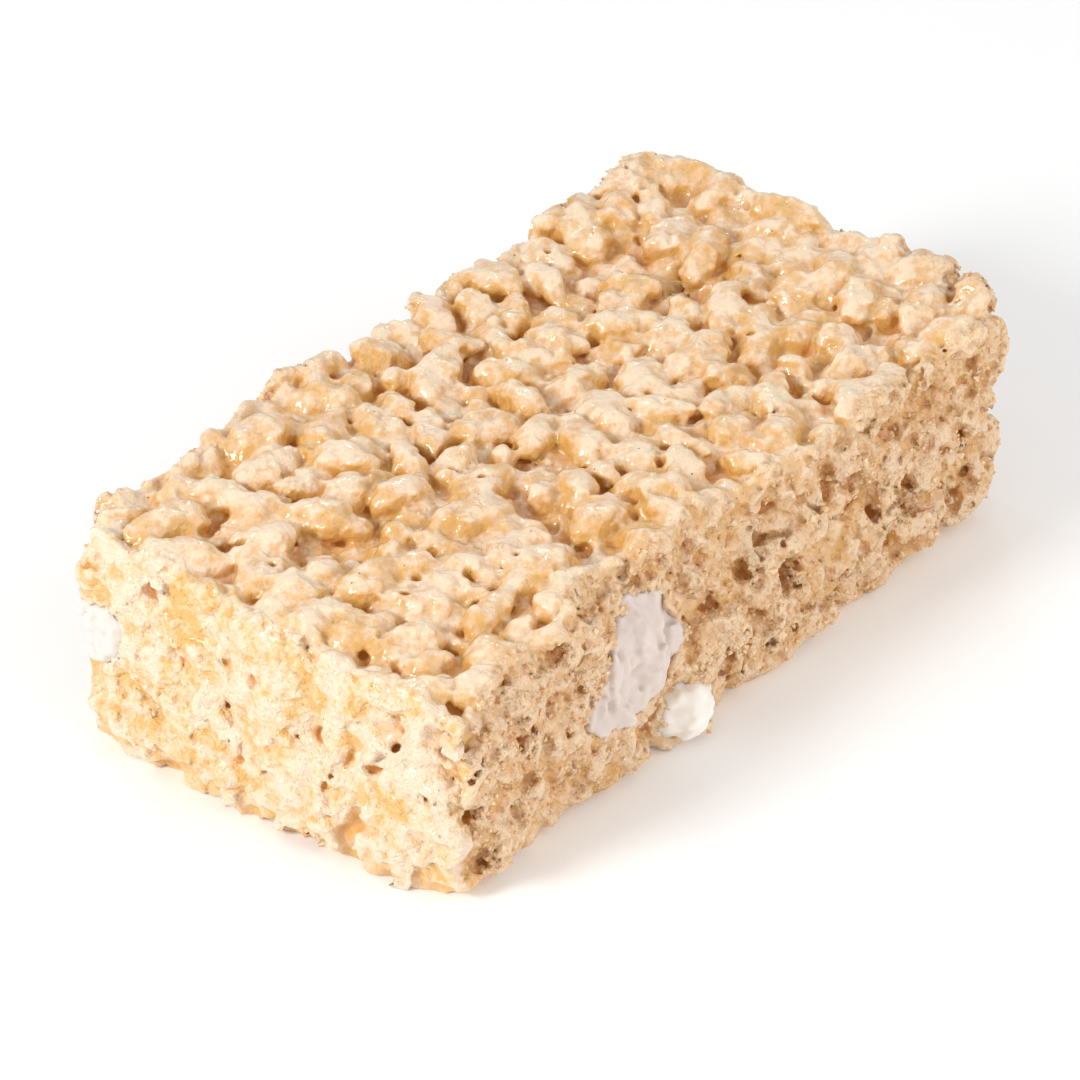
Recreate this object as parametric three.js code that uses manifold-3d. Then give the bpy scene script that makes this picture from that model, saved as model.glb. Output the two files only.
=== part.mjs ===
// Puffed-rice and marshmallow bar, cut as an oblong from a pressed slab.
// Millimetres, +Z up. X runs along the bar, and the origin is the centre of its underside.
// The bar is one fused solid: a core, the coated grains that cover its top, and craggy sides where a knife
// tore through the grains.
// Lumps of unmelted marshmallow sit in pockets of it, each a solid of its own.

import * as THREE from "three";
import { mergeVertices } from "three/addons/utils/BufferGeometryUtils.js";
import Module from "manifold-3d";

const wasm = await Module();
wasm.setup();

// Driving dimensions of the bar, over the coated grains.
const BAR_LENGTH = 95.5;
const BAR_WIDTH = 51;
const BAR_HEIGHT = 27;

// A puffed grain in its marshmallow coat.
const GRAIN_LENGTH = 8.2;
const GRAIN_WIDTH = 5;
const GRAIN_THICKNESS = 4.2;
const GRAIN_SPREAD = 0.16; // share by which grains differ in size
const GRAIN_BEND = 0.1; // sag of a grain's ends, as a share of its length
const FACET_SWELL = 1.1; // makes up for the volume that flat facets take off a round grain

// How grains lie: the share of a face that they cover, and how far their middles stand over the core's skin.
const TOP_COVER = 0.84;
const SIDE_COVER = 0.15;
const TOP_LIFT = 0.4;
const SIDE_LIFT = 1.4;
const LIFT_SPREAD = 0.45;
const TOP_TILT = 0.28; // radians
const SIDE_TILT = 0.3;
const EDGE_MARGIN = 1.5; // middles of grains keep this far inside a face's edge
const TOP_MARGIN = 3.4; // the sides end this far under the tops of the grains

// Grains start evenly spread, then push each other aside until few overlap.
const START_STEPS = [0.7548776662, 0.569840291];
const SETTLE_STEPS = 120;
const SETTLE_RATE = 0.25;
const SETTLE_TURN = 0.6;
const LEAST_GAP = 0.01; // keeps the push finite where two middles meet

// The core lies inside the grains.
const CORE_INSET = 3.2;
const CORE_TOP_INSET = 2.6;
const CORE_STEP = 14;

// The knife's path: what lies outside it was cut away.
const CUT_STEP = 14;
const CUT_ROUGHNESS = 0.6; // how far it wanders
const CUT_HEADROOM = 8; // it is open above the top

// The torn skin of a side: corners of its facets stand out, and some sink into gaps between grains.
const CRAG_STEP = 3.7;
const CRAG_LIFT = 2.4; // over the core's skin
const CORNER_LIFT = 1.6; // less at the upright corners
const CRAG_HEIGHT = 0.7;
const CRAG_SHIFT = 0.25; // sideways, as a share of the step
const CRAG_ROOT = 1; // how deep the skin's root lies in the core
const GAP_SHARE = 0.13;
const GAP_DEPTH = 2.2;

// The long cut side leans in towards the top, most at LEAN_PLACE.
const LEAN_DEPTH = 4.5;
const LEAN_PLACE = -14;
const LEAN_REACH = 22;
const LEAN_CURVE = 1.6;

// The other sides bulge between their corners, and the near end most at its foot.
const FAR_SIDE_BULGE = 2.5;
const FAR_END_BULGE = 2.2;
const NEAR_END_BULGE = 3.2;
const NEAR_END_TAPER = 0.8; // share of its bulge that is gone at the top

// Broad rises and dips of the top: place, height and reach.
const TOP_SWELLS = [
  { x: -47, y: -25, height: -2.2, reach: 13 },
  { x: 46, y: 24, height: 3.4, reach: 12 },
  { x: 46, y: -25, height: 2.2, reach: 8 },
  { x: 45, y: 0, height: 2.4, reach: 14 },
  { x: -24, y: 26, height: 1.7, reach: 22 },
  { x: -6, y: 2, height: -0.7, reach: 12 },
  { x: 20, y: 12, height: 0.7, reach: 15 },
];

// Unmelted marshmallow: the middle of each lump, its half sizes, its turn about the Y axis, and whether
// the knife sliced it.
const POCKET_GAP = 0.3;
const LUMP_ROUGHNESS = 0.07; // height of the waves in a lump's skin, as a share of its size
const LUMP_WAVES = { x: 3, y: 4, z: 2.5 }; // radians per half size
const LUMP_ROUND = 14; // facets round a lump, and from end to end
const LUMP_RINGS = 9;
const LUMPS = [
  { name: "marshmallow_side", at: [-16.8, -20.5, 14.2], half: [8.4, 6, 5.8], turn: -0.55, sliced: true },
  { name: "marshmallow_foot", at: [-10, -24.2, 4.2], half: [3.9, 3.2, 2.9], turn: -0.15, sliced: false },
  { name: "marshmallow_end", at: [-45.4, 23.4, 14.2], half: [4.4, 4.6, 4.6], turn: 0.1, sliced: true },
];

// Looks: a glossy sugar coat and dry marshmallow.
const RICE = { color: 0xe8bd8c, roughness: 0.45, metalness: 0 };
const MARSHMALLOW = { color: 0xf6ece4, roughness: 0.7, metalness: 0 };

// Seeded random numbers from 0 to 1, so that every build is alike.
const SEED = 20;
function randomFrom(seed) {
  let state = seed >>> 0;
  return () => {
    state = (state + 0x6d2b79f5) >>> 0;
    let mixed = Math.imul(state ^ (state >>> 15), state | 1);
    mixed ^= mixed + Math.imul(mixed ^ (mixed >>> 7), mixed | 61);
    return ((mixed ^ (mixed >>> 14)) >>> 0) / 2 ** 32;
  };
}
const random = randomFrom(SEED);
const spread = (amount) => amount * (2 * random() - 1);

// A closed three.js geometry as a solid that can be joined and cut, and back.
function toSolid(geometry) {
  const bare = geometry.clone();
  bare.deleteAttribute("normal");
  bare.deleteAttribute("uv");
  const merged = mergeVertices(bare);
  const mesh = new wasm.Mesh({
    numProp: 3,
    vertProperties: merged.attributes.position.array,
    triVerts: new Uint32Array(merged.index.array),
  });
  return new wasm.Manifold(mesh);
}

function toGeometry(solid) {
  const { vertProperties, triVerts } = solid.getMesh();
  const geometry = new THREE.BufferGeometry();
  geometry.setAttribute("position", new THREE.BufferAttribute(vertProperties, 3));
  geometry.setIndex(new THREE.BufferAttribute(triVerts, 1));
  geometry.computeVertexNormals();
  return geometry;
}

// The largest body of a solid: a sealed hollow is filled by this, and a loose scrap dropped.
function largestBody(solid) {
  return solid.decompose().reduce((best, body) => (body.volume() > best.volume() ? body : best));
}

// Moves every vertex of a geometry whose shared vertices are merged.
function reshape(geometry, move) {
  geometry.deleteAttribute("normal");
  geometry.deleteAttribute("uv");
  const merged = mergeVertices(geometry);
  const place = merged.attributes.position;
  const point = new THREE.Vector3();
  for (let i = 0; i < place.count; i++) {
    move(point.fromBufferAttribute(place, i));
    place.setXYZ(i, point.x, point.y, point.z);
  }
  return merged;
}

// Takes a point of the plain oblong to its place in the uneven bar.
function swellAt(x, y) {
  return TOP_SWELLS.reduce((sum, s) => {
    const away = Math.hypot(x - s.x, y - s.y) / s.reach;
    return sum + s.height * Math.exp(-away * away);
  }, 0);
}

// 1 in the middle of a side of the given size, 0 at its corners.
const bulgeAt = (place, size) => Math.max(0, 1 - (2 * place / size) ** 2);

function makeUneven(point) {
  const { x, y } = point;
  const rise = THREE.MathUtils.clamp(point.z / BAR_HEIGHT, 0, 1);
  const farSide = 0.5 + y / BAR_WIDTH;
  const farEnd = 0.5 + x / BAR_LENGTH;
  const lean = LEAN_DEPTH * Math.exp(-(((x - LEAN_PLACE) / LEAN_REACH) ** 2)) * rise ** LEAN_CURVE;
  const nearEndBulge = NEAR_END_BULGE * (1 - NEAR_END_TAPER * rise);
  point.x += bulgeAt(y, BAR_WIDTH) * (FAR_END_BULGE * farEnd - nearEndBulge * (1 - farEnd));
  point.y += lean * (1 - farSide) + FAR_SIDE_BULGE * bulgeAt(x, BAR_LENGTH) * farSide;
  point.z += swellAt(x, y) * rise;
  return point;
}

// An oblong that stands on Z = 0, split into steps so that it can be made uneven.
function oblong(length, width, height, step) {
  const steps = [length, width, height].map((size) => Math.round(size / step));
  return new THREE.BoxGeometry(length, width, height, ...steps).translate(0, 0, height / 2);
}

function makeCore() {
  const length = BAR_LENGTH - 2 * CORE_INSET;
  const width = BAR_WIDTH - 2 * CORE_INSET;
  const height = BAR_HEIGHT - CORE_TOP_INSET;
  return toSolid(reshape(oblong(length, width, height, CORE_STEP), makeUneven));
}

// The knife's path round the sides: what lies outside it was cut away. It is open well above the top.
function makeCut() {
  const height = BAR_HEIGHT + CUT_HEADROOM;
  const blank = oblong(BAR_LENGTH, BAR_WIDTH, height, CUT_STEP);
  return toSolid(
    reshape(blank, (point) => {
      makeUneven(point);
      point.x += spread(CUT_ROUGHNESS);
      point.y += spread(CUT_ROUGHNESS);
    }),
  );
}

// One coated grain of the given length, lying along X: an egg-ended oval that sags a little towards its ends.
function grainShape(length, size) {
  const half = new THREE.Vector3(length, GRAIN_WIDTH * size, GRAIN_THICKNESS * size).multiplyScalar(0.5);
  return reshape(new THREE.IcosahedronGeometry(FACET_SWELL, 0), (point) => {
    const sag = point.x * point.x * GRAIN_BEND * length;
    point.multiply(half);
    point.z -= sag;
  });
}

// The faces that carry grains, each with its directions and its middle on the plain core.
const CORE_TOP = BAR_HEIGHT - CORE_TOP_INSET;
const CORE_X = BAR_LENGTH / 2 - CORE_INSET;
const CORE_Y = BAR_WIDTH / 2 - CORE_INSET;
const TOP_FACE = {
  across: new THREE.Vector3(1, 0, 0),
  up: new THREE.Vector3(0, 1, 0),
  middle: new THREE.Vector3(0, 0, CORE_TOP),
  width: BAR_LENGTH,
  height: BAR_WIDTH,
  lift: TOP_LIFT,
  tilt: TOP_TILT,
  cover: TOP_COVER,
};

// A side face, from its direction along the bar's foot.
function sideFace(acrossX, acrossY, width) {
  const height = BAR_HEIGHT - TOP_MARGIN;
  return {
    across: new THREE.Vector3(acrossX, acrossY, 0),
    up: new THREE.Vector3(0, 0, 1),
    middle: new THREE.Vector3(acrossY * CORE_X, -acrossX * CORE_Y, height / 2),
    width,
    height,
    lift: SIDE_LIFT,
    tilt: SIDE_TILT,
    cover: SIDE_COVER,
  };
}
const SIDE_FACES = [
  sideFace(1, 0, BAR_LENGTH),
  sideFace(-1, 0, BAR_LENGTH),
  sideFace(0, 1, BAR_WIDTH),
  sideFace(0, -1, BAR_WIDTH),
];
const FACES = [TOP_FACE, ...SIDE_FACES];

const outward = (face) => new THREE.Vector3().crossVectors(face.across, face.up);

// A point that stands a little over a face's skin on the uneven core.
function onFace(face, u, v, lift) {
  const point = face.middle.clone().addScaledVector(face.across, u).addScaledVector(face.up, v);
  return makeUneven(point).addScaledVector(outward(face), lift);
}

// Turns a shape made lying on the XY plane to lie on a face.
function facing(face) {
  return new THREE.Matrix4().makeBasis(face.across, face.up, outward(face));
}

// Three balls along a grain stand for it while the grains settle.
function ballsOf(grain) {
  const reach = grain.length / 2 - grain.radius;
  return [-1, 0, 1].map((end) => ({
    u: grain.u + end * reach * Math.cos(grain.angle),
    v: grain.v + end * reach * Math.sin(grain.angle),
  }));
}

// Moves a grain that is pushed at one of its balls, and turns it about its middle.
function pushGrain(grain, ball, du, dv) {
  const torque = (ball.u - grain.u) * dv - (ball.v - grain.v) * du;
  grain.angle += (SETTLE_TURN * torque) / grain.length;
  grain.u += du;
  grain.v += dv;
}

function pushApart(a, b) {
  const touching = a.radius + b.radius;
  if (Math.hypot(a.u - b.u, a.v - b.v) > (a.length + b.length) / 2) return;
  for (const p of ballsOf(a)) {
    for (const q of ballsOf(b)) {
      const gap = Math.hypot(p.u - q.u, p.v - q.v);
      if (gap >= touching) continue;
      const push = (SETTLE_RATE * (touching - gap)) / Math.max(gap, LEAST_GAP);
      pushGrain(a, p, push * (p.u - q.u), push * (p.v - q.v));
      pushGrain(b, q, push * (q.u - p.u), push * (q.v - p.v));
    }
  }
}

// Spreads grains of mixed sizes over a face and lets them settle beside each other.
function packFace(face) {
  const grainArea = (Math.PI / 4) * GRAIN_LENGTH * GRAIN_WIDTH;
  const count = Math.round((face.cover * face.width * face.height) / grainArea);
  const halfU = face.width / 2 - EDGE_MARGIN;
  const halfV = face.height / 2 - EDGE_MARGIN;
  const grains = Array.from({ length: count }, (_, i) => {
    const size = 1 + spread(GRAIN_SPREAD);
    return {
      size,
      radius: (GRAIN_WIDTH * size) / 2,
      length: GRAIN_LENGTH * size * (1 + spread(GRAIN_SPREAD)),
      u: halfU * (2 * ((i * START_STEPS[0]) % 1) - 1),
      v: halfV * (2 * ((i * START_STEPS[1]) % 1) - 1),
      angle: random() * Math.PI,
    };
  });
  for (let step = 0; step < SETTLE_STEPS; step++) {
    grains.forEach((a, i) => grains.slice(i + 1).forEach((b) => pushApart(a, b)));
    for (const grain of grains) {
      grain.u = THREE.MathUtils.clamp(grain.u, -halfU, halfU);
      grain.v = THREE.MathUtils.clamp(grain.v, -halfV, halfV);
    }
  }
  return grains;
}

// The settled grains of a face as solids, each tilted a little out of it.
function grainsOn(face) {
  return packFace(face).map((grain) => {
    const turn = new THREE.Euler(spread(face.tilt), spread(face.tilt), grain.angle, "ZYX");
    const shape = grainShape(grain.length, grain.size);
    shape.applyMatrix4(new THREE.Matrix4().makeRotationFromEuler(turn)).applyMatrix4(facing(face));
    const middle = onFace(face, grain.u, grain.v, face.lift + spread(LIFT_SPREAD));
    return toSolid(shape.translate(middle.x, middle.y, middle.z));
  });
}

// The torn skin of a side as a slab whose outer facets are uneven.
function makeCrags(face) {
  const columns = Math.round(face.width / CRAG_STEP);
  const rows = Math.round(face.height / CRAG_STEP);
  const width = face.width - 2 * (CORE_INSET - CORNER_LIFT);
  const slab = new THREE.BoxGeometry(width, face.height, CRAG_ROOT, columns, rows, 1);
  const skin = reshape(slab, (point) => {
    const outer = point.z > 0;
    const rim = Math.abs(point.y) > face.height / 2 - CRAG_ROOT;
    const corner = Math.abs(point.x) > width / 2 - CRAG_ROOT;
    const sunk = !rim && !corner && random() < GAP_SHARE ? GAP_DEPTH : 0;
    const skinLift = (corner ? CORNER_LIFT : CRAG_LIFT) + spread(CRAG_HEIGHT) - sunk;
    const along = outer && !corner ? spread(CRAG_SHIFT * CRAG_STEP) : 0;
    const up = outer && !rim ? spread(CRAG_SHIFT * CRAG_STEP) : 0;
    point.copy(onFace(face, point.x + along, point.y + up, outer ? skinLift : -CRAG_ROOT));
  });
  return toSolid(skin);
}

// A lump of marshmallow with a slightly wavy skin, grown by a margin for its pocket.
function lumpShape({ at, half, turn }, margin) {
  const [x, y, z] = half.map((size) => size + margin);
  const ball = reshape(new THREE.SphereGeometry(1, LUMP_ROUND, LUMP_RINGS), (point) => {
    const lengthwise = Math.sin(LUMP_WAVES.x * point.x + LUMP_WAVES.z * point.z);
    const across = Math.cos(LUMP_WAVES.y * point.y - LUMP_WAVES.z * point.z);
    point.multiplyScalar(1 + LUMP_ROUGHNESS * (lengthwise + across));
  });
  return toSolid(ball.scale(x, y, z).rotateY(turn).translate(...at));
}

function addNode(group, name, solid, look) {
  const node = new THREE.Mesh(toGeometry(solid), new THREE.MeshStandardMaterial(look));
  node.name = name;
  group.add(node);
}

function makeBar() {
  const bar = new THREE.Group();
  const cut = makeCut();
  const grains = wasm.Manifold.union(FACES.flatMap(grainsOn)).intersect(cut);
  const fused = wasm.Manifold.union([makeCore(), ...SIDE_FACES.map(makeCrags), grains]);
  const pockets = wasm.Manifold.union(LUMPS.map((lump) => lumpShape(lump, POCKET_GAP)));
  const block = largestBody(fused.subtract(pockets));
  addNode(bar, "rice_block", block, RICE);
  for (const lump of LUMPS) {
    const whole = lumpShape(lump, 0);
    addNode(bar, lump.name, lump.sliced ? whole.intersect(cut) : whole, MARSHMALLOW);
  }
  const { min, max } = new THREE.Box3().setFromObject(bar);
  bar.position.set(-(min.x + max.x) / 2, -(min.y + max.y) / 2, -min.z);
  return bar;
}

export default makeBar();
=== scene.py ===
"""A puffed-rice and marshmallow bar on a white floor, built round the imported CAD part.

The bar is grown as a distance field in millimetres: grains settle in a box, melted marshmallow fills the
narrow gaps between them, a knife cuts the sides, and the field's surface becomes one mesh, split by side.
Lumps of unmelted marshmallow and torn crumbs are pieces of their own.
"""

import math

import bpy
import numpy as np
import openvdb
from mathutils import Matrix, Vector


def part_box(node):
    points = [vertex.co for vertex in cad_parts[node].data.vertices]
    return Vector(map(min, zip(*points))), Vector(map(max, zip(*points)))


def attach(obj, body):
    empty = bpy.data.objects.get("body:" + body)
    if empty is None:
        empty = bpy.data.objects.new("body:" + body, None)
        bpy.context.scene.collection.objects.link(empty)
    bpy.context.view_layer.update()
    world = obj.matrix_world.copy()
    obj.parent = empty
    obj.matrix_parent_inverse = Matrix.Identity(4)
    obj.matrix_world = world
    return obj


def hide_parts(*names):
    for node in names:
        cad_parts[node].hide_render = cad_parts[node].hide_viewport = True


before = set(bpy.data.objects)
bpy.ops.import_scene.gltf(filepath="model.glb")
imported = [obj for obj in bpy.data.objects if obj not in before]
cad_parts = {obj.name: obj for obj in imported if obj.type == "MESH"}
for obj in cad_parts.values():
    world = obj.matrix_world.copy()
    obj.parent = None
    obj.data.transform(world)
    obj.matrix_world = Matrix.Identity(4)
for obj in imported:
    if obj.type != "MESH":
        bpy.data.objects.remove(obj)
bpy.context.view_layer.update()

MM = 0.001
LENGTH, WIDTH, HEIGHT = 94.0, 50.0, 27.0
SEED = 20
rng = np.random.default_rng(SEED)

# The block of space that holds the bar, in millimetres.
VOXEL = 0.31
LOW = np.array([-52.6, -28.4, -1.7])
SHAPE = (340, 192, 108)
LAST = np.array(SHAPE) - 1
X = (LOW[0] + VOXEL * np.arange(SHAPE[0], dtype=np.float32))[:, None, None]
Y = (LOW[1] + VOXEL * np.arange(SHAPE[1], dtype=np.float32))[None, :, None]
Z = (LOW[2] + VOXEL * np.arange(SHAPE[2], dtype=np.float32))[None, None, :]

# Waves of the fields below are filtered by their frequency, in cycles a millimetre.
WAVES = np.sqrt(
    np.fft.fftfreq(SHAPE[0], VOXEL)[:, None, None] ** 2
    + np.fft.fftfreq(SHAPE[1], VOXEL)[None, :, None] ** 2
    + np.fft.rfftfreq(SHAPE[2], VOXEL)[None, None, :] ** 2
)
# Random lumps are blurred by a share of their size, and lose waves much longer than they are. In the sums below
# each noise has its height in millimetres before it and its size in brackets.
LUMP_BLUR = 0.22
LUMP_LIMIT = 1.6
# Keeps a division by a slope of zero in bounds.
TINY_SLOPE = 1e-3


def filtered(field, keep):
    """A field with each frequency scaled by keep."""
    return np.fft.irfftn(np.fft.rfftn(field) * keep, s=SHAPE, axes=(0, 1, 2)).astype(np.float32)


def blur(field, sigma):
    return filtered(field, np.exp(-2 * (math.pi * sigma * WAVES) ** 2))


def noise(size):
    """Smooth random lumps of about the given size, with a spread of 1."""
    short = np.exp(-2 * (math.pi * LUMP_BLUR * size * WAVES) ** 2)
    band = short * (1 - np.exp(-((LUMP_LIMIT * size * WAVES) ** 2)))
    lumps = filtered(rng.standard_normal(SHAPE), band)
    return lumps / lumps.std()


def smooth_min(a, b, reach):
    share = np.clip(0.5 + 0.5 * (b - a) / reach, 0, 1)
    return b + (a - b) * share - reach * share * (1 - share)


def smooth_max(a, b, reach):
    return -smooth_min(-a, -b, reach)


def step(field, start, end):
    """0 before start, 1 after end, smooth between."""
    share = np.clip((field - start) / (end - start), 0, 1)
    return share * share * (3 - 2 * share)


def voxel_of(points):
    """Index of the voxel nearest to each point."""
    return np.clip(np.rint((points - LOW) / VOXEL).astype(int), 0, LAST)


# Broad rises and dips of the top: x, y, height, reach.
SWELLS = (
    (-47, -25, -2.2, 13),
    (46, 24, 4.2, 12),
    (46, -25, 3.6, 8),
    (45, 0, 3.6, 14),
    (-24, 26, 1.9, 22),
    (-43, 25, 0.5, 12),
    (-6, 2, -0.7, 12),
    (20, 12, 0.7, 15),
)


def lid(x, y):
    """Height of the top, over the coated grains."""
    return HEIGHT + sum(h * np.exp(-((x - a) ** 2 + (y - b) ** 2) / r**2) for a, b, h, r in SWELLS)


# The long near side leans in towards the top, most at one place along the bar.
LEAN = 4.5
LEAN_X = -14
LEAN_REACH = 22
LEAN_CURVE = 1.6


def near_side(x, z):
    rise = np.clip(z / HEIGHT, 0, 1) ** LEAN_CURVE
    return -WIDTH / 2 + LEAN * np.exp(-(((x - LEAN_X) / LEAN_REACH) ** 2)) * rise


def bulge(place, half):
    """1 in the middle of a side, 0 at its ends."""
    return np.clip(1 - (place / half) ** 2, 0, 1)


# Each cut stands a little outside the fitted box and swells in the middle, the near end most at its foot.
NEAR_OUTSET, FAR_OUTSET, NEAR_END_OUTSET, FAR_END_OUTSET = 0.4, 0.7, 1.3, 0.4
FAR_BULGE, NEAR_END_BULGE, FAR_END_BULGE = 2.5, 2.8, 2.2
FAR_BULGE_X = -4
SIDE_HALF, END_HALF = 52, 27
END_TAPER = 0.8
END_WANDER = 0.6
EDGE_ROUND = 1
wander = 0.5 * noise(9)
near_cut = near_side(X, Z) - NEAR_OUTSET - Y + wander
far_cut = Y - WIDTH / 2 - FAR_OUTSET - FAR_BULGE * bulge(X - FAR_BULGE_X, SIDE_HALF) + wander
end_swell = NEAR_END_BULGE * bulge(Y, END_HALF) * (1 - END_TAPER * Z / HEIGHT)
near_end = -LENGTH / 2 - NEAR_END_OUTSET - end_swell - X + END_WANDER * wander
far_end = X - LENGTH / 2 - FAR_END_OUTSET - FAR_END_BULGE * bulge(Y, END_HALF) + wander
cut = smooth_max(
    smooth_max(near_cut, far_cut, EDGE_ROUND), smooth_max(near_end, far_end, EDGE_ROUND), EDGE_ROUND
)

# Grains: three balls in a row settle as one, pushed apart, and held between the floor and the lid.
GRAIN_COUNT = 1240
OVERHANG = 6.0
BALL = 2.05
REACH = 2.3
SETTLE_STEPS = 70
AXIS_SPREAD = (1, 1, 0.4)
SIZE_SPREAD, SIZE_LIMIT = 0.14, 1.6
SINK, STAND_OUT = -0.9, 0.5
PUSH = 0.22
LEAST_DISTANCE = 0.05
FLOOR_SHARE = 0.9


def settle(rounds):
    """Middles, directions and sizes of grains that lie beside each other."""
    half = np.array([LENGTH / 2 + OVERHANG, WIDTH / 2 + OVERHANG, HEIGHT / 2])
    middle = (rng.random((GRAIN_COUNT, 3)) * 2 - 1) * half + (0, 0, HEIGHT / 2)
    axis = rng.standard_normal((GRAIN_COUNT, 3)) * AXIS_SPREAD
    size = 1 + SIZE_SPREAD * np.clip(rng.standard_normal(GRAIN_COUNT), -SIZE_LIMIT, SIZE_LIMIT)
    lift = np.repeat(rng.uniform(SINK, STAND_OUT, GRAIN_COUNT), 3)
    grain_of = np.repeat(np.arange(GRAIN_COUNT), 3)
    radius = np.repeat(BALL * size, 3).astype(np.float32)
    for _ in range(rounds):
        axis /= np.linalg.norm(axis, axis=1, keepdims=True)
        along = axis[:, None, :] * (REACH * size)[:, None, None] * np.array([-1, 0, 1])[None, :, None]
        balls = (middle[:, None, :] + along).reshape(-1, 3)
        flat = balls.astype(np.float32)
        square = (flat * flat).sum(1)
        gap = square[:, None] + square[None, :] - 2 * flat @ flat.T
        first, second = np.nonzero(gap < (radius[:, None] + radius[None, :]) ** 2)
        apart = grain_of[first] != grain_of[second]
        first, second = first[apart], second[apart]
        away = balls[first] - balls[second]
        distance = np.linalg.norm(away, axis=1)
        overlap = radius[first] + radius[second] - distance
        push = away * (PUSH * overlap / np.maximum(distance, LEAST_DISTANCE))[:, None]
        for k in range(3):
            balls[:, k] += np.bincount(first, push[:, k], len(balls))
        top = lid(balls[:, 0], balls[:, 1]) - radius + lift
        balls[:, 2] = np.clip(balls[:, 2], radius * FLOOR_SHARE, top)
        balls[:, 0] = np.clip(balls[:, 0], -half[0], half[0])
        balls[:, 1] = np.clip(balls[:, 1], -half[1], half[1])
        moved = balls.reshape(-1, 3, 3)
        middle = moved.mean(1)
        axis = moved[:, 2] - moved[:, 0]
    return middle, axis / np.linalg.norm(axis, axis=1, keepdims=True), size


middles, axes, grain_sizes = settle(SETTLE_STEPS)

# The near end is a clean cut through film, rougher along its foot, and the other sides are torn. The steps say
# how far broken grains may stand out of a cut or sink in it.
clean = step(near_end, -3.0, -0.6)
low_end = clean * step(-Z, -5.5, -1.5)
steps = 1.3 - 0.6 * clean + 1.0 * low_end


def oval_field(place, halves):
    """Distance to an oval, for places in its own directions."""
    reach = np.sqrt(sum((p / h) ** 2 for p, h in zip(place, halves)))
    slope = np.sqrt(sum((p / h**2) ** 2 for p, h in zip(place, halves)))
    return reach * (reach - 1) / np.maximum(slope, TINY_SLOPE)


# Each grain is an oval with dents, bent a little, and broken by the knife at a depth of its own.
GRAIN_LENGTH, GRAIN_WIDTH, GRAIN_THICKNESS = 4.5, 2.25, 2.0
GRAIN_SPAN = 6.2
GRAIN_BLEND = 0.35
FARTHEST_OUT, FARTHEST_IN = 8, -10
LEAST_HELD = 0.9
NO_RICE = 3.0
dents = 0.23 * noise(3.6) + 0.1 * noise(1.8)
bends = rng.uniform(-0.03, 0.05, GRAIN_COUNT)
spreads = rng.uniform(0.88, 1.11, (GRAIN_COUNT, 2))
breaks = rng.uniform(-0.7, 1.0, GRAIN_COUNT)
rice = np.full(SHAPE, NO_RICE, np.float32)
owner = np.zeros(SHAPE, np.int16)
for index, (middle, axis, size) in enumerate(zip(middles, axes, grain_sizes)):
    outside = max(abs(middle[0]) - LENGTH / 2, abs(middle[1]) - WIDTH / 2)
    depth = max(outside, -middle[2], middle[2] - HEIGHT)
    if outside > FARTHEST_OUT or depth < FARTHEST_IN or cut[tuple(voxel_of(middle))] > LEAST_HELD:
        continue
    first = np.maximum(np.floor((middle - GRAIN_SPAN - LOW) / VOXEL).astype(int), 0)
    last = np.minimum(np.ceil((middle + GRAIN_SPAN - LOW) / VOXEL).astype(int), SHAPE)
    if (first >= last).any():
        continue
    near = tuple(slice(a, b) for a, b in zip(first, last))
    side = np.cross(axis, (0, 0, 1) if abs(axis[2]) < 0.9 else (1, 0, 0))
    side /= np.linalg.norm(side)
    up = np.cross(side, axis)
    place = (X[near[0]] - middle[0], Y[:, near[1]] - middle[1], Z[:, :, near[2]] - middle[2])
    u, v, w = (sum(p * d for p, d in zip(place, way)) for way in (axis, side, up))
    w = w + bends[index] * u * u
    wide, thick = spreads[index]
    halves = np.array([GRAIN_LENGTH, GRAIN_WIDTH * wide, GRAIN_THICKNESS * thick]) * size
    shape = oval_field((u, v, w), halves) + dents[near]
    shape = np.maximum(shape, cut[near] + steps[near] * breaks[index])
    closer = shape < rice[near]
    owner[near] = np.where(closer, index, owner[near])
    rice[near] = smooth_min(shape, rice[near], GRAIN_BLEND)

# Torn faces are rough, and so are the hollows behind them, but not those of the near end.
HOLLOW_ROUGHNESS = 0.6
torn_hollows = step(cut, -3.6, -1.6) * step(lid(X, Y) - Z, 2, 4.5) * (1 - step(near_end, -6, -4))
torn = np.maximum(step(cut, -1.8, -0.3), HOLLOW_ROUGHNESS * torn_hollows)
crumb = torn * (1 - 0.5 * clean) * (0.36 * noise(3.4) + 0.3 * noise(1.9) + 0.26 * noise(1.0))

# Melted marshmallow fills narrow gaps, more in some places than in others, and most near the cuts.
FILM_BLUR = 0.75
FILM_BLEND = 0.4
GRAIN_COAT = 0.12
film = blur(rice, FILM_BLUR) + 0.04 + 0.08 * step(X, -10, 25) + 0.16 * noise(11) + 0.2 * noise(4)
film += 0.1 - 0.32 * step(cut, -5, -1.5) - 0.45 * clean
film = np.maximum(film, cut + 0.35 + 1.3 * low_end + crumb)
mass = smooth_min(rice - GRAIN_COAT, film, FILM_BLEND)

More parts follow.
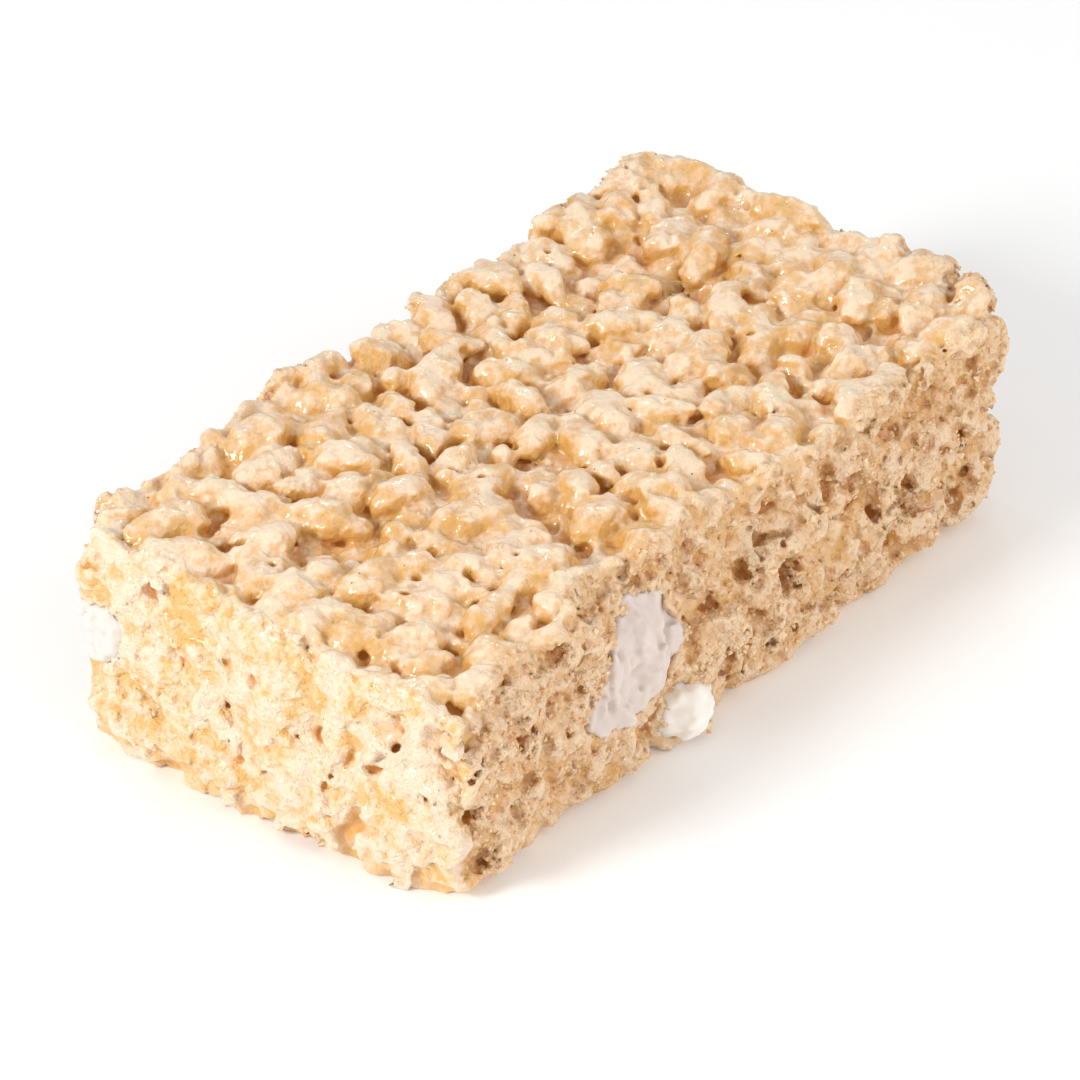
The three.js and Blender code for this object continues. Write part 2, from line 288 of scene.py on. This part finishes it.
# Under the grains that show, the bar is solid but for a few deep holes, and its top rim is fuller.
HOLE_SLOPE = 1.6
HOLE_LEVEL = 1.7
below_top = Z - lid(X, Y)
holes = noise(5)
rim = step(cut, -5, -1) * step(below_top, -7, -3)
core = np.maximum(below_top + 3.4 - 1.6 * rim, cut + 2.2 - np.maximum(1.7 * clean, rim) + 1.3 * low_end)
core += (0.5 - 0.2 * clean) * noise(4)
mass = np.minimum(mass, np.maximum(core, HOLE_SLOPE * (holes - HOLE_LEVEL - 0.3 * clean - rim)))
mass = np.minimum(mass, np.maximum(below_top + 6, cut + 4.2 - 3.2 * clean))
mass += 0.08 * noise(2.2) + 0.065 * noise(1.1) + crumb + clean * (0.25 * noise(5) + 0.25 * noise(2.6))

# The foot of the near side curls up from the floor, and that of the near end is scalloped.
FOOT_OUTSET = 0.6
undercut = (3.2 + noise(9)) * step(-Z, -2.0, -0.4)
mass = np.maximum(mass, near_cut - FOOT_OUTSET + undercut + 0.5 * crumb)
scallops = (1.0 + 1.7 * noise(5.5)) * step(-Z, -3.4, -0.6)
mass = smooth_max(mass, near_end - FOOT_OUTSET + scallops, 0.4)

# Thin spikes wear off, and on the near end film closes narrow pits.
WEAR_BLUR = 0.9
WEAR_BLEND = 0.2
worn = blur(np.clip(mass, -1, 1), WEAR_BLUR)
mass = smooth_max(mass, worn - 0.3, WEAR_BLEND)
mass = smooth_min(mass, worn + 0.06 + 2 * (1 - clean), WEAR_BLEND)

# The top was pressed, so its lumps are a little flat, and bubbles burst in the film and left round holes.
PRESS_BLEND = 0.9
BUBBLES = 16
BUBBLE_LOW, BUBBLE_HIGH = (-44, -22, 0.35), (45, 23, 0.7)
BUBBLE_DEPTH = 1.5
BUBBLE_BLEND = 0.25
BUBBLE_SPAN = 4
mass = smooth_max(mass, below_top - 0.3 + 0.3 * noise(7), PRESS_BLEND)
for x, y, size in rng.uniform(BUBBLE_LOW, BUBBLE_HIGH, (BUBBLES, 3)):
    i, j = int((x - LOW[0]) / VOXEL), int((y - LOW[1]) / VOXEL)
    top = LOW[2] + VOXEL * np.nonzero(mass[i, j] < 0)[0].max()
    near = (slice(i - BUBBLE_SPAN, i + BUBBLE_SPAN + 1), slice(j - BUBBLE_SPAN, j + BUBBLE_SPAN + 1))
    under = np.clip(top - BUBBLE_DEPTH - Z, 0, None)
    away = np.sqrt((X[near[0]] - x) ** 2 + (Y[:, near[1]] - y) ** 2 + under**2)
    mass[near] = smooth_max(mass[near], size - away, BUBBLE_BLEND)


# Unmelted marshmallow, in the places of the CAD lumps.
def oval(middle, halves, turn):
    x, z = X - middle[0], Z - middle[2]
    u = x * math.cos(turn) - z * math.sin(turn)
    w = x * math.sin(turn) + z * math.cos(turn)
    return oval_field((u, Y - middle[1], w), halves)


# Outline of the large lump on the near side: x and height. It is rounded, and reaches this far in.
PATCH = np.array([(-26.3, 9.3), (-19.3, 7.8), (-13, 8.4), (-9.7, 13.9), (-11.4, 19.6), (-17.4, 21.4)])
PATCH_ROUND = 1.2
PATCH_BACK, PATCH_BACK_ROUND = -13, 2


def patch():
    shape = np.full((SHAPE[0], 1, SHAPE[2]), -9.0, np.float32)
    for start, end in zip(PATCH, np.roll(PATCH, -1, axis=0)):
        along = (end - start) / np.linalg.norm(end - start)
        edge = (X - start[0]) * along[1] - (Z - start[1]) * along[0]
        shape = smooth_max(shape, edge, PATCH_ROUND)
    return smooth_max(shape, Y - PATCH_BACK, PATCH_BACK_ROUND)


FOOT_MIDDLE = np.array([-10.0, -24.2, 4.2])
FOOT_HALVES, FOOT_TURN = (3.9, 3.2, 2.9), -0.15
FOOT_CLEARANCE = 0.3
CORNER_MIDDLE, CORNER_HALVES, CORNER_TURN = (-45.4, 23.4, 14.2), (4.4, 4.6, 4.6), 0.1
ripple = 0.14 * noise(3.2) + 0.13 * noise(1.4)
window = patch() + 1.2 * ripple
corner = oval(CORNER_MIDDLE, CORNER_HALVES, CORNER_TURN)
# A torn foam has upright ridges.
ridges = noise(1.7).mean(2, keepdims=True)
ridges = 0.13 * ridges / ridges.std() * (1 + 0.5 * noise(6)) + 0.28 * noise(4.5)
foot = oval(FOOT_MIDDLE, FOOT_HALVES, FOOT_TURN) + 0.2 * noise(4) + ripple
lump_fields = {
    "marshmallow_side": np.maximum(window, near_cut + 0.1 + ripple + ridges),
    "marshmallow_foot": np.maximum(foot, FOOT_CLEARANCE - Z),
    "marshmallow_end": np.maximum(corner, cut - 0.4) + ripple,
}
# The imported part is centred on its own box, so the bar's middle lies a little off the origin.
low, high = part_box("marshmallow_foot")
SHIFT = np.array((low + high) / 2) / MM - FOOT_MIDDLE
SHIFT[2] = 0
# Each lump lies in a coat of rice, with a fine gap round it.
LUMP_COAT = 1.2
LUMP_GAP = 0.15
COAT_BLEND = 0.4
FLOOR_BLEND = 0.3
for lump in lump_fields.values():
    coat = np.maximum(lump - LUMP_COAT, cut + 0.4 + crumb)
    mass = np.maximum(smooth_min(mass, coat, COAT_BLEND), -LUMP_GAP - lump)
mass = np.maximum(mass, -LUMP_GAP - np.minimum(window, corner))
mass = smooth_max(mass, -Z, FLOOR_BLEND)


def flood(space, reached):
    """The part of a space that is joined to a start."""
    count = -1
    while reached.sum() != count:
        count = reached.sum()
        for axis in range(3):
            fill, open_space = np.moveaxis(reached, axis, 0), np.moveaxis(space, axis, 0)
            for i in range(1, len(fill)):
                fill[i] |= fill[i - 1] & open_space[i]
            for i in range(len(fill) - 2, -1, -1):
                fill[i] |= fill[i + 1] & open_space[i]
    return reached


# Loose scraps go, and sealed hollows are filled.
SURELY_INSIDE = -8
FIXED = 0.2
solid = flood(mass < 0, (mass < 0) & (core < SURELY_INSIDE))
outer_air = np.zeros(SHAPE, bool)
outer_air[0] = True
air = flood(~solid, outer_air)
mass[(mass < 0) & ~solid] = FIXED
mass[~air & ~solid] = -FIXED


def sample(field, points):
    """Values of a field at points, smooth between voxels."""
    place = np.clip((points - LOW) / VOXEL, 0, np.array(SHAPE) - 1.001)
    base = place.astype(int)
    share = place - base
    total = 0
    for offset in np.ndindex(2, 2, 2):
        weight = np.prod(np.where(offset, share, 1 - share), axis=1)
        total = total + weight * field[tuple((base + offset).T)]
    return total


FLATNESS = 0.02


def skin_of(field):
    """Points, normals and triangles of a field's zero surface, with fewer triangles where it is flat."""
    grid = openvdb.FloatGrid(1.0)
    grid.copyFromArray(np.clip(field, -1, 1).astype(np.float32))
    points, triangles, quads = grid.convertToPolygons(0.0, FLATNESS)
    place = points * VOXEL + LOW
    ways = np.eye(3) * VOXEL
    slope = np.stack([sample(field, place + d) - sample(field, place - d) for d in ways], axis=1)
    faces = np.concatenate([triangles, quads[:, :3], quads[:, (0, 2, 3)]])
    return place, slope / np.linalg.norm(slope, axis=1, keepdims=True), faces


def new_object(name, points, faces):
    mesh = bpy.data.meshes.new(name)
    mesh.from_pydata((points + SHIFT) * MM, [], faces)
    piece = bpy.data.objects.new(name, mesh)
    bpy.context.scene.collection.objects.link(piece)
    return piece


def new_piece(name, skin, chosen=slice(None)):
    """A piece of the chosen faces of a skin, with the whole skin's normals so that no seam shows."""
    place, normals, faces = skin
    used, corners = np.unique(faces[chosen], return_inverse=True)
    piece = new_object(name, place[used], corners.reshape(-1, 3))
    piece.data.shade_smooth()
    piece.data.normals_split_custom_set_from_vertices(normals[used])
    return piece


def positions(mesh):
    place = np.empty(3 * len(mesh.vertices), np.float32)
    mesh.vertices.foreach_get("co", place)
    return place.reshape(-1, 3) / MM - SHIFT


def paint(piece, name, values):
    layer = piece.data.attributes.new(name, "FLOAT", "POINT")
    layer.data.foreach_set("value", np.asarray(values, np.float32))


# The skin is split by the side of the bar that it belongs to, and the top and the far side once more halfway.
SIDES = (
    "coated_top_near_half",
    "torn_near_side",
    "clean_near_end",
    "torn_far_side_near_half",
    "torn_far_end",
    "underside",
    "coated_top_far_half",
    "torn_far_side_far_half",
)
TOP, FAR_SIDE = SIDES.index("coated_top_near_half"), SIDES.index("torn_far_side_near_half")
bar_skin = skin_of(mass)
middle = bar_skin[0][bar_skin[2]].mean(1)
depths = np.stack(
    [
        lid(middle[:, 0], middle[:, 1]) - middle[:, 2],
        -sample(near_cut, middle),
        -sample(near_end, middle),
        -sample(far_cut, middle),
        -sample(far_end, middle),
        2 * middle[:, 2],
    ]
)
side_of = depths.argmin(0)
far_half = middle[:, 0] > 0
side_of[(side_of == TOP) & far_half] = SIDES.index("coated_top_far_half")
side_of[(side_of == FAR_SIDE) & far_half] = SIDES.index("torn_far_side_far_half")
block = [new_piece(name, bar_skin, side_of == k) for k, name in enumerate(SIDES)]

# What the shader needs to know at each point: distance from a grain's crust, how hollow the place is, how
# torn, how cleanly cut, and the tone of the grain that it belongs to.
HOLLOW_BLUR = 1.2
HOLLOW_LIMIT = 3
CRUST_DEPTH = 0.1
hollows = blur(np.clip(mass, -HOLLOW_LIMIT, HOLLOW_LIMIT), HOLLOW_BLUR)
tones = rng.random(GRAIN_COUNT)
for piece in block:
    place = positions(piece.data)
    paint(piece, "depth", np.clip(np.abs(sample(rice, place) + CRUST_DEPTH), 0, 1))
    paint(piece, "cavity", sample(hollows, place))
    paint(piece, "torn", sample(torn, place))
    paint(piece, "clean", sample(clean, place))
    paint(piece, "tone", tones[owner[tuple(voxel_of(place).T)]])

# Jagged crumbs of broken grain stick to the torn sides.
CRUMB_COUNT = 8000
CRUMB_SIZE, CRUMB_SPREAD = 0.24, 0.35
CRUMB_SINK = 0.1
CRUMB_FLOOR = 1
OCTAHEDRON = np.array([(1, 0, 0), (-1, 0, 0), (0, 1, 0), (0, -1, 0), (0, 0, 1), (0, 0, -1)])
OCTAHEDRON_FACES = np.array(
    [(0, 2, 4), (2, 1, 4), (1, 3, 4), (3, 0, 4), (2, 0, 5), (1, 2, 5), (3, 1, 5), (0, 3, 5)]
)


def scatter_crumbs():
    place, normals, _ = bar_skin
    share = sample(torn * (1 - clean), place) * step(lid(place[:, 0], place[:, 1]) - place[:, 2], 0.5, 3)
    share *= place[:, 2] > CRUMB_FLOOR
    chosen = rng.choice(len(place), CRUMB_COUNT, p=share / share.sum())
    size = CRUMB_SIZE * np.exp(CRUMB_SPREAD * rng.standard_normal((CRUMB_COUNT, 1, 1)))
    turn = np.linalg.qr(rng.standard_normal((CRUMB_COUNT, 3, 3)))[0]
    turn *= np.sign(np.linalg.det(turn))[:, None, None]
    middles = (place + normals * rng.uniform(-CRUMB_SINK, CRUMB_SINK, (len(place), 1)))[chosen][:, None]
    corners = middles + (OCTAHEDRON * size * rng.uniform(0.6, 1.3, (CRUMB_COUNT, 6, 1))) @ turn
    faces = OCTAHEDRON_FACES[None] + 6 * np.arange(CRUMB_COUNT)[:, None, None]
    piece = new_object("torn_crumbs", corners.reshape(-1, 3), faces.reshape(-1, 3))
    paint(piece, "tone", np.repeat(rng.random(CRUMB_COUNT), 6))
    return piece


crumbs = scatter_crumbs()
lumps = {name: new_piece(name + "_lump", skin_of(field)) for name, field in lump_fields.items()}


# Materials. Colours are sRGB hex, as measured or known, and the shader works in linear light.
def linear(code):
    channels = [int(code[i : i + 2], 16) / 255 for i in (0, 2, 4)]
    return [c / 12.92 if c <= 0.04045 else ((c + 0.055) / 1.055) ** 2.4 for c in channels] + [1]


def add(tree, kind, values=None, **settings):
    """A node with its settings, and each input set to a value or linked to an output."""
    node = tree.nodes.new(kind)
    for key, value in settings.items():
        setattr(node, key, value)
    for key, value in (values or {}).items():
        if isinstance(value, bpy.types.NodeSocket):
            tree.links.new(value, node.inputs[key])
        else:
            node.inputs[key].default_value = value
    return node


def new_material(name, values):
    """A material, its node tree and its shader, with the shader's inputs set to values."""
    material = bpy.data.materials.new(name)
    material.use_nodes = True
    shader = material.node_tree.nodes["Principled BSDF"]
    for key, value in values.items():
        shader.inputs[key].default_value = value
    return material, material.node_tree, shader


# Toasted grain under a sticky sugar coat, and light goes about a millimetre deep.
coated_rice, tree, shader = new_material(
    "marshmallow-coated puffed rice",
    {
        "IOR": 1.4,
        "Roughness": 0.4,
        "Coat Roughness": 0.07,
        "Coat IOR": 1.48,
        "Subsurface Weight": 0.3,
        "Subsurface Radius": (1.0, 0.82, 0.56),
        "Subsurface Scale": 0.0009,
    },
)
where = add(tree, "ShaderNodeTexCoord").outputs["Object"]
from_crust, cavity, tone, torn_here, clean_here = (
    add(tree, "ShaderNodeAttribute", attribute_name=name).outputs["Fac"]
    for name in ("depth", "cavity", "tone", "torn", "clean")
)
normal = add(tree, "ShaderNodeNewGeometry").outputs["Normal"]
faces_up = add(tree, "ShaderNodeSeparateXYZ", {"Vector": normal}).outputs["Z"]
# Marshmallow film is milky on crests and cream beside them, and in dips and on slopes the grain's golden
# crust shows. The milky crests are partly painted sheen and the golden dips and slopes partly painted shade:
# the mix leans on how hollow a place is and, on the coated top, on which way a face looks. A cut grain is
# pale inside its golden rim. Blotches are about 2.6 mm wide and flecks 0.9 mm.
blotches = add(tree, "ShaderNodeTexNoise", {"Vector": where, "Scale": 380, "Detail": 3, "Roughness": 0.65})
flecks = add(tree, "ShaderNodeTexNoise", {"Vector": where, "Scale": 1100, "Detail": 2, "Roughness": 0.6})
flecks = flecks.outputs["Fac"]
SUMS = {
    "mottle": ("blotches", (flecks, 0.6), (tone, 0.16), (cavity, -0.17)),
    "mixed": ("mottle", (from_crust, -0.25)),
    "coated": ("mottle", (flecks, -0.3), (faces_up, -0.3)),
}
golden = {"blotches": blotches.outputs["Fac"]}
for name, (base, *parts) in SUMS.items():
    total = golden[base]
    for part, weight in parts:
        values = {0: part, 1: weight, 2: total}
        total = add(tree, "ShaderNodeMath", values, operation="MULTIPLY_ADD").outputs[0]
    golden[name] = total
# The clean end's colours are paler and less golden, partly for the film that the cut goes through and partly as
# painted light, since the key lamp falls full on that end.
TINTS = {
    "coated": ("coated", (0.34, "F2D9BA"), (0.48, "E8C092"), (0.67, "DBAA60")),
    "torn": ("mixed", (0.6, "EFCFAA"), (0.79, "E8C196"), (1.0, "DDA868")),
    "clean": ("mixed", (0.62, "F1D8BC"), (0.78, "EECDA2"), (0.95, "E6B56C")),
}
tints = {}
for name, (share, *stops) in TINTS.items():
    ramp = add(tree, "ShaderNodeValToRGB", {"Fac": golden[share]})
    ramp.color_ramp.elements.new(stops[1][0])
    for element, (position, code) in zip(ramp.color_ramp.elements, stops):
        element.position = position
        element.color = linear(code)
    tints[name] = ramp.outputs["Color"]
# Painted shade: deep gaps are coloured brown, most where they are most hollow, for the shade in them and the
# light that reaches them through toasted grain.
painted_gap_shade = add(
    tree,
    "ShaderNodeMapRange",
    {"Value": cavity, "From Min": -0.85, "From Max": -0.15, "To Min": 0.95, "To Max": 0},
).outputs[0]
gap_shade_and_glow_colour = add(
    tree,
    "ShaderNodeMix",
    {"Factor": clean_here, "A": linear("C8823A"), "B": linear("E3A44C")},
    data_type="RGBA",
).outputs["Result"]
# Tiny toasted specks, 0.2 mm wide.
cells = add(tree, "ShaderNodeTexVoronoi", {"Vector": where, "Scale": 320}).outputs["Distance"]
speck = add(tree, "ShaderNodeMath", {0: cells, 1: 0.035}, operation="LESS_THAN").outputs[0]
# Each layer covers the ones before it.
LAYERS = (
    (torn_here, tints["torn"]),
    (clean_here, tints["clean"]),
    (painted_gap_shade, gap_shade_and_glow_colour),
    (speck, linear("80572E")),
)
colour = tints["coated"]
for share, layer in LAYERS:
    values = {"Factor": share, "A": colour, "B": layer}
    colour = add(tree, "ShaderNodeMix", values, data_type="RGBA").outputs["Result"]
tree.links.new(colour, shader.inputs["Base Color"])
# Painted light: the gaps glow with their brown colour, most on the clean end, for light that has passed
# through the grains.
painted_glow_level = add(tree, "ShaderNodeMapRange", {"Value": clean_here, "To Min": 0.22, "To Max": 0.6}).outputs[0]
painted_gap_glow = add(tree, "ShaderNodeMath", {0: painted_gap_shade, 1: painted_glow_level}, operation="MULTIPLY").outputs[0]
tree.links.new(gap_shade_and_glow_colour, shader.inputs["Emission Color"])
tree.links.new(painted_gap_glow, shader.inputs["Emission Strength"])
# The sugar coat is glossy with faint ripples, and torn crumb is dull and gritty.
gloss = add(tree, "ShaderNodeMapRange", {"Value": torn_here, "To Min": 1.0, "To Max": 0.4}).outputs[0]
tree.links.new(gloss, shader.inputs["Coat Weight"])
grit = add(tree, "ShaderNodeTexNoise", {"Vector": where, "Scale": 1600, "Detail": 2, "Roughness": 0.6})
height = add(tree, "ShaderNodeMapRange", {"Value": torn_here, "To Min": 0.00025, "To Max": 0.0007})
RIPPLE_HEIGHT = 0.00005
for socket, rise in (("Normal", height.outputs[0]), ("Coat Normal", RIPPLE_HEIGHT)):
    values = {"Height": grit.outputs["Fac"], "Distance": rise, "Strength": 1}
    tree.links.new(add(tree, "ShaderNodeBump", values).outputs[0], shader.inputs[socket])
for piece in block:
    piece.data.materials.append(coated_rice)

# Broken grain is dry and porous, golden with paler chips.
broken, tree, shader = new_material("broken puffed rice", {"Roughness": 0.35, "IOR": 1.5})
tone = add(tree, "ShaderNodeAttribute", attribute_name="tone").outputs["Fac"]
values = {"Factor": tone, "A": linear("DDB074"), "B": linear("F2D4AC")}
chips = add(tree, "ShaderNodeMix", values, data_type="RGBA").outputs["Result"]
tree.links.new(chips, shader.inputs["Base Color"])
crumbs.data.materials.append(broken)
for piece in [*block, crumbs]:
    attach(piece, "root")
    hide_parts("rice_block")

# Marshmallow is a fine white foam, and a cut or torn place is a little duller than its skin. The lumps are
# also lit and shaded copies of one white: the foot is painted lighter for the light it catches, and the torn
# side is painted duller as shade.
FOAMS = {
    "marshmallow_side": ("torn marshmallow with painted shade", "DACBC2"),
    "marshmallow_foot": ("marshmallow skin with painted light", "F7EEE4"),
    "marshmallow_end": ("cut marshmallow", "DAD1C9"),
}
FOAM = {
    "Roughness": 0.6,
    "IOR": 1.45,
    "Subsurface Weight": 0.6,
    "Subsurface Radius": (1.0, 0.9, 0.8),
    "Subsurface Scale": 0.0015,
}
for name, lump in lumps.items():
    foam, _, _ = new_material(FOAMS[name][0], {"Base Color": linear(FOAMS[name][1]), **FOAM})
    lump.data.materials.append(foam)
    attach(lump, "root")
    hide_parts(name)

# A white floor. Its faint glow keeps it paper white away from the bar.
FLOOR_SIZE = 4
bpy.ops.mesh.primitive_plane_add(size=FLOOR_SIZE)
floor = bpy.context.object
floor.name = "floor"
PAPER = {
    "Base Color": linear("FAFAFA"),
    "Roughness": 0.8,
    "Emission Color": linear("FFFFFF"),
    "Emission Strength": 0.06,
}
floor.data.materials.append(new_material("white paper", PAPER)[0])

# A white studio, brighter near the horizon, so that slopes seen at a low angle reflect light.
world = bpy.data.worlds.new("studio")
bpy.context.scene.world = world
world.use_nodes = True
tree = world.node_tree
background = tree.nodes["Background"]
background.inputs["Color"].default_value = linear("FFFFFF")
direction = add(tree, "ShaderNodeTexCoord").outputs["Generated"]
upward = add(tree, "ShaderNodeSeparateXYZ", {"Vector": direction}).outputs["Z"]
sky = add(tree, "ShaderNodeMapRange", {"Value": upward, "From Max": 0.6, "To Min": 0.95, "To Max": 0.54})
tree.links.new(sky.outputs[0], background.inputs["Strength"])


def towards(azimuth, elevation):
    """The way from the bar to something that stands at these angles, in degrees."""
    a, e = math.radians(azimuth), math.radians(elevation)
    return Vector((math.sin(a) * math.cos(e), -math.cos(a) * math.cos(e), math.sin(e)))


LAMP_DISTANCE = 0.6


def lamp(name, azimuth, elevation, size, power):
    """A square lamp that faces the bar."""
    light = bpy.data.lights.new(name, "AREA")
    light.size = size
    light.energy = power
    body = bpy.data.objects.new(name, light)
    back = towards(azimuth, elevation)
    body.location = back * LAMP_DISTANCE
    body.rotation_euler = back.to_track_quat("Z", "Y").to_euler()
    bpy.context.scene.collection.objects.link(body)


# A key from the left, a wide fill for the long side, and two small lamps behind that make glints on the top.
lamp("key", -105, 32, 0.16, 2.15)
lamp("fill", 10, 30, 0.6, 1.5)
lamp("glint", 128, 42, 0.04, 0.12)
lamp("second_glint", 165, 55, 0.04, 0.12)

# The camera stands where the photo's did: the corners of a box of the bar's size fall on the bar's corners.
CAMERA_AZIMUTH, CAMERA_ELEVATION = -51.8, 33.7
CAMERA_DISTANCE = 0.65
CAMERA_OFFSET = (2.28 * MM, 2.6 * MM, 0)
camera = bpy.data.objects.new("camera", bpy.data.cameras.new("camera"))
camera.data.lens = 200
camera.data.sensor_width = 36
back = towards(CAMERA_AZIMUTH, CAMERA_ELEVATION)
turn = back.to_track_quat("Z", "Y")
aim = Vector(SHIFT * MM) + Vector((0, 0, HEIGHT / 2 * MM)) - turn @ Vector(CAMERA_OFFSET)
camera.location = aim + back * CAMERA_DISTANCE
camera.rotation_euler = turn.to_euler()
bpy.context.scene.collection.objects.link(camera)
bpy.context.scene.camera = camera
bpy.context.scene.view_settings.view_transform = "Standard"
